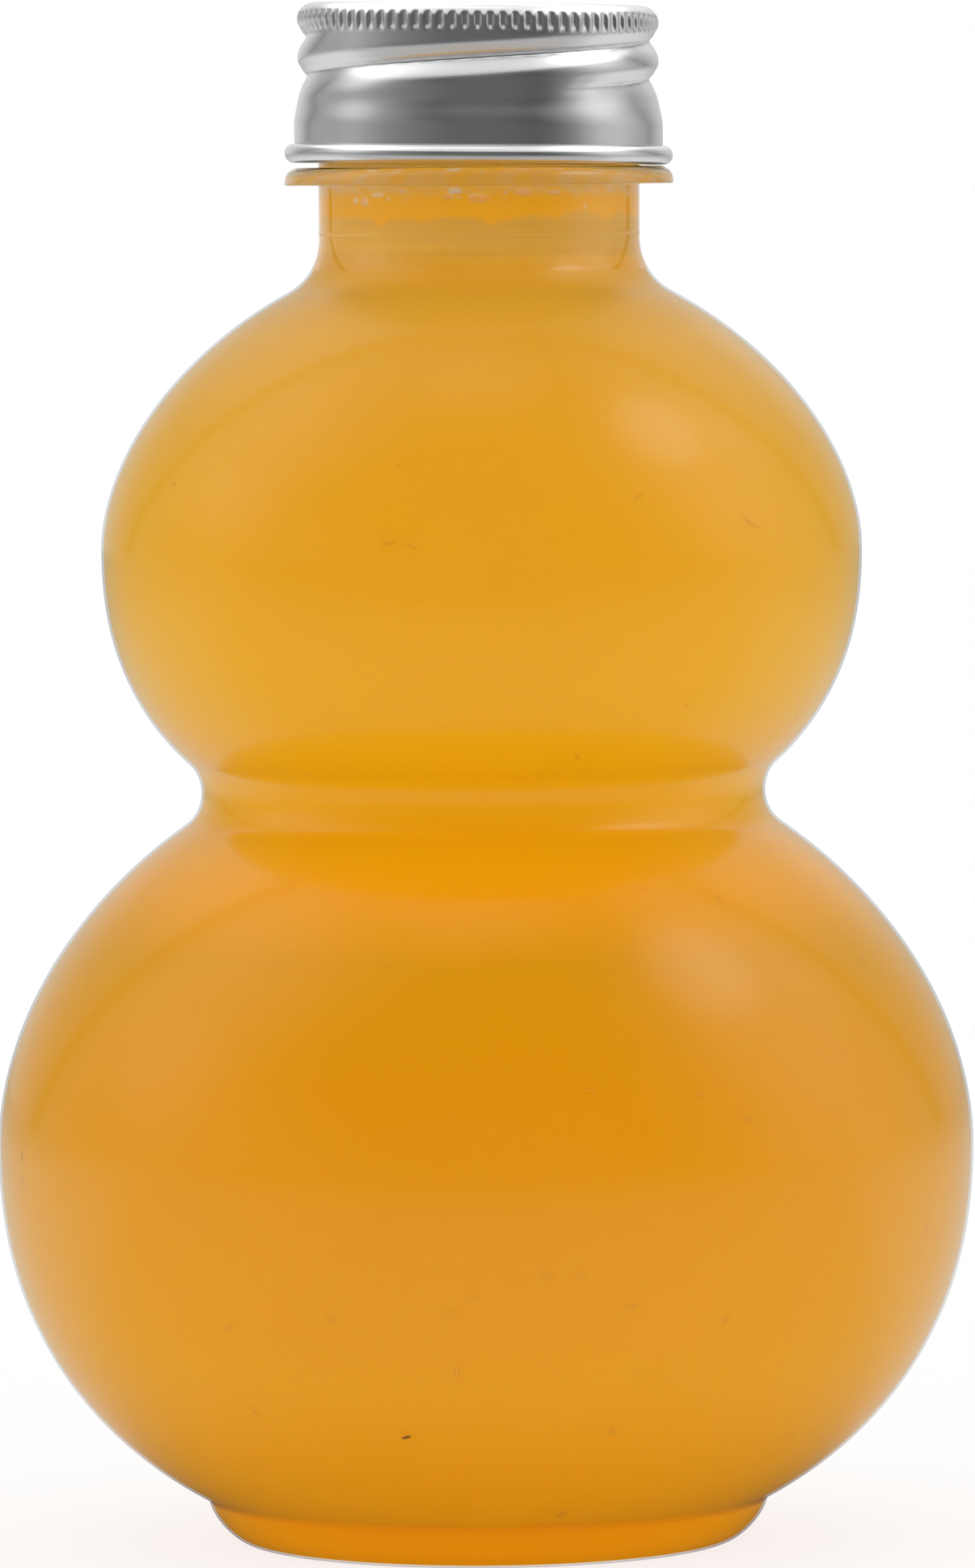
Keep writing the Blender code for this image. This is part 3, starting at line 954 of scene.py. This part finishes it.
def makePulpBits():
    # each is a flat sliver with pointed ends, laid on the drink's skin: u runs along it and v across,
    # v = w/2 sin a cos b + bow cos^2 a, and its thickness is t/2 sin a sin b
    side = drinkLine()
    side = side[np.argmin(side[:, 1]) :]
    side = side[side[:, 1] < drinkLevel - pulpBits["underLevel"]]
    run = runOf(side)
    stations = np.linspace(0, math.pi, pulpBits["stations"])
    section = np.arange(pulpBits["sides"]) * 2 * math.pi / pulpBits["sides"]
    points, faces, shades = [], [], []
    start = 0
    for turn, height, length, width, tilt, bow, dark in bitList():
        rings = []
        for station in stations:
            angles = section[:1] if station in (stations[0], stations[-1]) else section
            u = np.full(len(angles), -length / 2 * math.cos(station))
            v = width / 2 * math.sin(station) * np.cos(angles) + bow * math.cos(station) ** 2
            lift = pulpBits["thickness"] / 2 * math.sin(station) * np.sin(angles)
            rings.append(np.column_stack([u, v, lift]))
        flat, sliverFaces = skin(rings)
        u, v = flat[:, 0] * millimetre, flat[:, 1] * millimetre
        lean = math.radians(tilt)
        across, up = u * math.cos(lean) - v * math.sin(lean), u * math.sin(lean) + v * math.cos(lean)
        middle = np.interp(height * millimetre, side[:, 1], run)
        radius, level = readLine(side, run, middle + up).T
        angle = math.radians(turn) + across / radius
        radius = radius + flat[:, 2]
        faces += [[start + point for point in face] for face in sliverFaces]
        start += len(flat)
        points.append(np.column_stack([radius * np.cos(angle), radius * np.sin(angle), level]))
        shades.append(np.full(len(flat), dark))
    made = putMesh("pulp_bits", np.concatenate(points), faces, [bitMaterial])
    shade = made.data.attributes.new("darkness", "FLOAT", "POINT")
    shade.data.foreach_set("value", np.concatenate(shades).astype(np.float32))
    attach(made, "bottle")


makePulpBits()
print("pulp scattered")


# the cap

cap = {
    "radius": 0.0194,
    "wall": 0.00045,
    "corner": 0.0018,
    "flare": 0.0004,
    "flareLow": 0.0042,
    "flareHigh": 0.007,
    "beadRadius": 0.00102,
    "beadOverhang": 0.00005,
    "grooveDepth": 0.00108,
    "grooveUpper": 0.0021,
    "grooveLower": (0.0031, 0.0022),  # the lowest turn of the groove eases out further below
    "grooveLowest": (0.0095, 0.0125),
    "grooveTopDrop": 0.0025,
    "grooveRise": 0.0069,
    "fadeIn": 0.0008,
    "fadeOut": 0.0014,
    "creases": [(0.0006, 0.00022, 0.00004), (0.0015, 0.00028, 0.00005)],
    "knurls": 90,
    "knurlWidth": 0.00066,
    "knurlWall": 0.00026,
    "knurlDepth": 0.00026,
    "knurlBottom": 0.0032,
    "knurlEase": 0.0011,
    "knurlOnCorner": 0.6,  # the share of the corner's round that the slots run up
    "knurlReach": 0.0003,  # the finest rings go on this far under the slots
    "beadArc": (-170, 100),
    "pressFrom": 1.6,  # grooves may press from this many bead radii over the bottom
    "topStep": 0.00012,  # the flat top lies this deep inside a low rim
    "rimShares": (0.9, 0.88),  # of the radius, where the rim begins to drop and where it ends
    "softness": 0.00006,
    "insideSoftness": 0.00008,
    "leanLow": 0.7,  # degrees
    "leanHigh": 1.1,
    "stepsKnurl": 900,
    "stepsSide": 450,
    "stepsInside": 150,
    "skirtPoints": 200,
    "fineFrom": 0.002,  # the rings are fine from this far over the bottom, where they are on the wall
    "wallMargin": 0.0002,  # what lies this near the wall counts as on it
    "fineStep": 0.0002,
    "plainStep": 0.001,
    "bend": 9,
    "insideStep": 0.0007,
    "insideBend": 8,
}


def pressedIn(turn, height):
    # the rolled thread: two grooves on a helix, midway between the turns of the neck's thread,
    # crisp at the bottom and easing out to the wall as 1 - sin of the distance
    c = cap
    pitch = thread["lead"] / thread["starts"]
    high = capHigh - c["grooveTopDrop"]
    low = high - c["grooveRise"]
    helix = mouthHeight - thread["topDrop"] + thread["lead"] * (turn - thread["topAngle"]) / (2 * math.pi)
    under = helix - pitch / 2
    first = np.ceil((low - under) / pitch)
    lowest, others = c["grooveLower"]
    pressed = np.zeros(turn.shape)
    for step in range(math.ceil(c["grooveRise"] / pitch) + 1):
        middle = under + (first + step) * pitch
        fade = easeStep(middle, low, low + c["fadeIn"]) * easeStep(high - middle, 0, c["fadeOut"])
        away = height - middle
        lower = lowest + easeStep(middle - capLow, *c["grooveLowest"]) * (others - lowest)
        share = np.abs(away) / np.where(away > 0, c["grooveUpper"], lower)
        depth = c["grooveDepth"] * (1 - np.sin(math.pi / 2 * np.minimum(share, 1)))
        for place, spread, rise in c["creases"]:
            depth = depth - rise * np.exp(-(((away - place) / spread) ** 2))
        pressed += depth * fade
    return pressed


def knurled(turn, height, radius):
    # upright slots: flat in the middle, sloping at the sides, run out below, and open above,
    # where the corner curves in to their depth
    c = cap
    across = (turn * c["knurls"] / (2 * math.pi)) % 1 - 0.5
    pitch = 2 * math.pi * c["radius"] / c["knurls"]
    slot = easeStep(c["knurlWidth"] / 2 - np.abs(across) * pitch, -c["knurlWall"] / 2, c["knurlWall"] / 2)
    depth = max(0.0, radius - c["radius"] + c["knurlDepth"])
    return depth * slot * easeStep(height - capHigh + c["knurlBottom"], 0, c["knurlEase"])


def leaned(points):
    # the cap sits a little crooked: it drops towards +X, more so at its top
    share = (points[:, 2] - capLow) / (capHigh - capLow)
    lean = np.radians(cap["leanLow"] + share * (cap["leanHigh"] - cap["leanLow"]))
    points[:, 2] -= points[:, 0] * np.tan(lean)
    return points


def makeCap():
    # one skin: from under the middle of the top down the inside, round the bead, and up the outside
    c = cap
    bead = (c["radius"] + c["flare"] + c["beadOverhang"], capLow + c["beadRadius"])
    beadLine = arc(bead, (c["beadRadius"],) * 2, *c["beadArc"])
    inner = c["radius"] - c["wall"]
    insideCorner = arc(
        (c["radius"] - c["corner"], capHigh - c["corner"]), (c["corner"] - c["wall"],) * 2, 90, 0
    )
    inside = np.concatenate(
        [
            [[0, capHigh - c["wall"]]],
            insideCorner,
            [[inner, capLow + 2 * c["beadRadius"]], [inner + c["flare"], capLow + c["beadRadius"]]],
        ]
    )
    skirt = np.linspace(capLow + 2 * c["beadRadius"], capHigh - c["corner"], c["skirtPoints"])
    flare = c["flare"] * (1 - easeStep(skirt - capLow, c["flareLow"], c["flareHigh"]))
    corner = arc((c["radius"] - c["corner"], capHigh - c["corner"]), (c["corner"],) * 2, 0, 90)
    rimStart, rimEnd = (c["radius"] * share for share in c["rimShares"])
    flat = capHigh - c["topStep"]
    top = [[rimStart, capHigh], [rimEnd, flat], [0, flat]]
    outside = np.concatenate([beadLine, np.column_stack([c["radius"] + flare, skirt]), corner, top])
    inside = spaced(softened(inside, c["insideSoftness"]), c["insideStep"], math.radians(c["insideBend"]))
    outside = softened(outside, c["softness"])
    heights = (outside[1:, 1] + outside[:-1, 1]) / 2
    fine = (outside[1:, 0] > c["radius"] - c["wallMargin"]) & (heights > capLow + c["fineFrom"])
    outside = spaced(outside, np.where(fine, c["fineStep"], c["plainStep"]), math.radians(c["bend"]))
    inside[0, 0] = outside[-1, 0] = 0
    rings = []
    for radius, height in inside:
        steps = c["stepsInside"] if radius > 0 else 1
        turn = np.arange(steps) * 2 * math.pi / steps
        dent = pressedIn(turn, height) if radius > inner - c["wallMargin"] else 0
        rings.append(ringOf(radius - dent, height, steps))
    for radius, height in outside:
        onKnurl = (
            radius > c["radius"] - c["corner"] * c["knurlOnCorner"]
            and capHigh - height < c["knurlBottom"] + c["knurlReach"]
        )
        steps = c["stepsKnurl"] if onKnurl else c["stepsSide"] if radius > 0 else 1
        turn = np.arange(steps) * 2 * math.pi / steps
        dent = 0
        if radius > c["radius"] - c["corner"] and height > capLow + c["pressFrom"] * c["beadRadius"]:
            dent = pressedIn(turn, height) + knurled(turn, height, min(radius, c["radius"]))
        rings.append(ringOf(radius - dent, height, steps))
    points, faces = skin(rings)
    made = putMesh("cap_rolled", leaned(points), faces, [metalMaterial])
    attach(made, "cap")
    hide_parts("cap_shell")
    return made


capPiece = makeCap()
print("cap rolled")


# the foam seal in the cap

seal = {
    "radius": 0.01795,
    "edge": 0.0002,
    "markDepth": 0.00012,  # the mouth's rim has pressed a ring into it
    "markWidth": 0.0009,
    "markPower": 4,
    "softness": 0.00008,
    "steps": 144,
    "step": 0.0008,
    "bend": 6,
}


def makeSeal():
    # a turned disc; the mark rises by d exp(-(x / w)^p) at distance x from the middle of the mouth's rim
    s = seal
    edge = [
        [0, sealLow],
        [s["radius"] - s["edge"], sealLow],
        [s["radius"], sealLow + s["edge"]],
        [s["radius"], sealHigh - s["edge"]],
        [s["radius"] - s["edge"], sealHigh],
        [0, sealHigh],
    ]
    line = softened(np.array(edge), s["softness"])
    rim = bottle["neckRadius"] - bottle["neckWall"] / 2
    mark = s["markDepth"] * np.exp(-(((line[:, 0] - rim) / s["markWidth"]) ** s["markPower"]))
    line[:, 1] += mark * (line[:, 1] < (sealLow + sealHigh) / 2)
    line = spaced(line, s["step"], math.radians(s["bend"]))
    line[0, 0] = line[-1, 0] = 0
    points, faces = skin(ringsOf(line, s["steps"]))
    made = putMesh("cap_seal", leaned(points), faces, [foamMaterial])
    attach(made, "liner")
    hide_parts("cap_liner")


makeSeal()
print("seal cut")


# the studio

studio = {
    "floorSize": 6.0,
    "floorDrop": 0.0001,  # how far the floor lies under the foot, so that they don't share a plane
    "floorTone": 0.96,
    "floorShadow": 0.2,  # how much of the floor's shading the eye sees
    "floorGlow": 0.7,  # how much of the floor's own light falls on the bottle, as from a light table
    "floorNear": 0.56,  # the floor's level in gloss by the bottle, far to the sides, and towards the camera
    "floorFar": 0.44,
    "floorFront": 0.13,
    "floorFade": (0.05, 0.7),
    "footShade": 0.3,  # the floor under and beside the foot mirrors as this share of that level
    "footFade": (0.03, 0.06),
    "backLift": 0.6,  # the floor beside and behind the bottle mirrors lighter by this share, less far off
    "backSide": 0.03,
    "backFade": (0.05, 1.0),
    "farFade": (0.6, 2.5),
    "ambient": 1.0,
    "room": 0.055,  # the dark side of the room, behind the camera
    "softLights": [
        # azimuth from the front towards +X, height, inner and outer reach, all in degrees, and level
        (-135, 20, 20, 90, 0.34),
        (-90, 40, 0, 30, 0.22),
        (-105, 35, 0, 30, 0.16),
        (-60, -10, 0, 45, 0.19),
        (105, 20, 10, 65, 0.4),
        (90, 35, 0, 28, 0.36),
        (84, 50, 4, 15, 1.3),
        (-87, 21, 2, 20, 0.26),
        (-80, 60, 0, 26, 0.15),
        (120, 50, 0, 28, 0.29),
        (90, 5, 0, 28, 0.23),
        (165, 35, 0, 28, 0.29),
        (-150, 50, 0, 28, 0.43),
        (0, 85, 0, 18, 0.4),
        (-122, 60, 0, 26, 0.15),
        (180, 5, 0, 45, 0.3),
        (180, -5, 0, 60, 0.14),
        (0, -2, 0, 42, 0.07),
    ],
    "capBox": {"size": 1.3, "above": 0.4, "level": 0.66},
    "seamAxis": (0.0, 0.902, 0.431),  # a dark join runs up both sides and over the bottle
    "seamAt": 0.635,
    "seamWidth": 0.055,
    "seamDark": 0.95,
}


def makeFloor():
    # white to the eye with a soft shadow; in gloss it fades towards the dark side of the room
    size = studio["floorSize"] / 2
    points = np.array([[-size, -size, 0], [size, -size, 0], [size, size, 0], [-size, size, 0]])
    points[:, 2] = cadBox[0].z - studio["floorDrop"]
    material, tree, output = newMaterial("pale floor")
    material.cycles.emission_sampling = "NONE"
    place, (_, y, _) = objectPlace(tree)
    path = tree.nodes.new("ShaderNodeLightPath")
    seen = maths(tree, "MAXIMUM", path.outputs["Is Camera Ray"], path.outputs["Is Transmission Ray"])
    away = tree.nodes.new("ShaderNodeVectorMath")
    away.operation = "LENGTH"
    tree.links.new(place, away.inputs[0])
    far = eased(tree, away.outputs["Value"], *studio["farFade"], studio["floorNear"], studio["floorFar"])
    near, front = studio["floorFade"]
    gloss = mixColour(tree, eased(tree, y, -front, -near), evenColour(studio["floorFront"]), far)
    shade = eased(tree, away.outputs["Value"], *studio["footFade"], studio["footShade"], 1.0)
    gloss = mixColour(tree, 1.0, gloss, shade, "MULTIPLY")
    behind = eased(tree, y, -studio["backSide"], studio["backSide"], 0.0, studio["backLift"])
    close = eased(tree, away.outputs["Value"], *studio["backFade"], 1.0, 0.0)
    gloss = mixColour(tree, 1.0, gloss, maths(tree, "MULTIPLY_ADD", behind, close, 1.0), "MULTIPLY")
    tone = mixColour(tree, path.outputs["Is Glossy Ray"], evenColour(studio["floorTone"]), gloss)
    tone = mixColour(tree, seen, tone, evenColour(1.0))
    shader = tree.nodes.new("ShaderNodeBsdfDiffuse")
    tree.links.new(tone, shader.inputs["Color"])
    white = tree.nodes.new("ShaderNodeEmission")
    glow = maths(tree, "MULTIPLY", path.outputs["Is Diffuse Ray"], studio["floorGlow"])
    bright = maths(tree, "MULTIPLY_ADD", seen, 1 - studio["floorShadow"], glow)
    tree.links.new(mixShader(tree, bright, shader.outputs[0], white.outputs[0]), output.inputs["Surface"])
    floor = putMesh("floor", points, [[0, 1, 2, 3]], [material])


def towards(azimuth, height):
    # unit direction: x = sin a cos h, y = -cos a cos h, z = sin h
    turn, rise = math.radians(azimuth), math.radians(height)
    return math.sin(turn) * math.cos(rise), -math.cos(turn) * math.cos(rise), math.sin(rise)


def makeStudioLight():
    # white to the eye and even on the object; what gloss mirrors is a darker room with soft lights
    world = bpy.data.worlds.new("studio")
    bpy.context.scene.world = world
    world.use_nodes = True
    world.cycles.sampling_method = "NONE"
    tree = world.node_tree
    tree.nodes.clear()
    output = tree.nodes.new("ShaderNodeOutputWorld")
    direction = tree.nodes.new("ShaderNodeTexCoord").outputs["Generated"]

    def along(axis):
        # the cosine of the angle between the way looked and an axis
        node = tree.nodes.new("ShaderNodeVectorMath")
        node.operation = "DOT_PRODUCT"
        tree.links.new(direction, node.inputs[0])
        node.inputs[1].default_value = axis
        return node.outputs["Value"]

    level = studio["room"]
    for azimuth, height, inner, outer, bright in studio["softLights"]:
        reach = [math.cos(math.radians(angle)) for angle in (outer, inner)]
        light = eased(tree, along(towards(azimuth, height)), *reach, 0.0, bright)
        level = maths(tree, "ADD", light, level)
    join = along(studio["seamAxis"])
    at, width = studio["seamAt"], studio["seamWidth"]
    rise, fall = eased(tree, join, at - width, at), eased(tree, join, at, at + width, 1.0, 0.0)
    dark = maths(tree, "MULTIPLY", maths(tree, "MULTIPLY", rise, fall), -studio["seamDark"])
    level = maths(tree, "MULTIPLY", level, maths(tree, "ADD", dark, 1.0))
    path = tree.nodes.new("ShaderNodeLightPath")
    straight = maths(tree, "SUBTRACT", 1.0, path.outputs["Is Transmission Ray"])
    mirrored = maths(tree, "MULTIPLY", path.outputs["Is Glossy Ray"], straight)
    colour = mixColour(tree, mirrored, evenColour(studio["ambient"]), level)
    colour = mixColour(tree, path.outputs["Is Camera Ray"], colour, evenColour(1.0))
    light = tree.nodes.new("ShaderNodeBackground")
    tree.links.new(colour, light.inputs["Color"])
    tree.links.new(light.outputs[0], output.inputs["Surface"])


def makeCapLight():
    # a wide soft box straight above, for the cap's metal alone; its power is 4 x level x area
    c = studio["capBox"]
    lamp = bpy.data.lights.new("cap box", "AREA")
    lamp.shape = "DISK"
    lamp.size = c["size"]
    lamp.energy = 4 * c["level"] * math.pi * c["size"] ** 2 / 4
    made = bpy.data.objects.new("cap box", lamp)
    made.location = (0, 0, capHigh + c["above"])
    made.visible_camera = made.visible_diffuse = made.visible_transmission = False
    bpy.context.scene.collection.objects.link(made)
    lit = bpy.data.collections.new("mirrors the cap box")
    lit.objects.link(capPiece)
    made.light_linking.receiver_collection = lit


camera = {
    "distance": 1.151,
    "height": 0.1496,
    "pitch": 3.38,
    "roll": -0.42,
    "sideways": 0.00045,
    "lens": 245.4,
    "sensorWidth": 36.0,
    "clipEnd": 20.0,
}


def makeCamera():
    # level with the cap and tipped down a little, far enough back for a long lens
    data = bpy.data.cameras.new("camera")
    data.lens = camera["lens"]
    data.sensor_width = camera["sensorWidth"]
    data.clip_end = camera["clipEnd"]
    made = bpy.data.objects.new("camera", data)
    made.location = (camera["sideways"], -camera["distance"], camera["height"])
    tip = Euler((math.radians(90 - camera["pitch"]), 0, 0)).to_matrix()
    roll = Euler((0, 0, math.radians(camera["roll"]))).to_matrix()
    made.rotation_mode = "ZYX"
    made.rotation_euler = (tip @ roll).to_euler("ZYX")
    bpy.context.scene.collection.objects.link(made)
    bpy.context.scene.camera = made


makeFloor()
makeStudioLight()
makeCapLight()
makeCamera()
bpy.context.scene.view_settings.view_transform = "Standard"
print("studio lit")
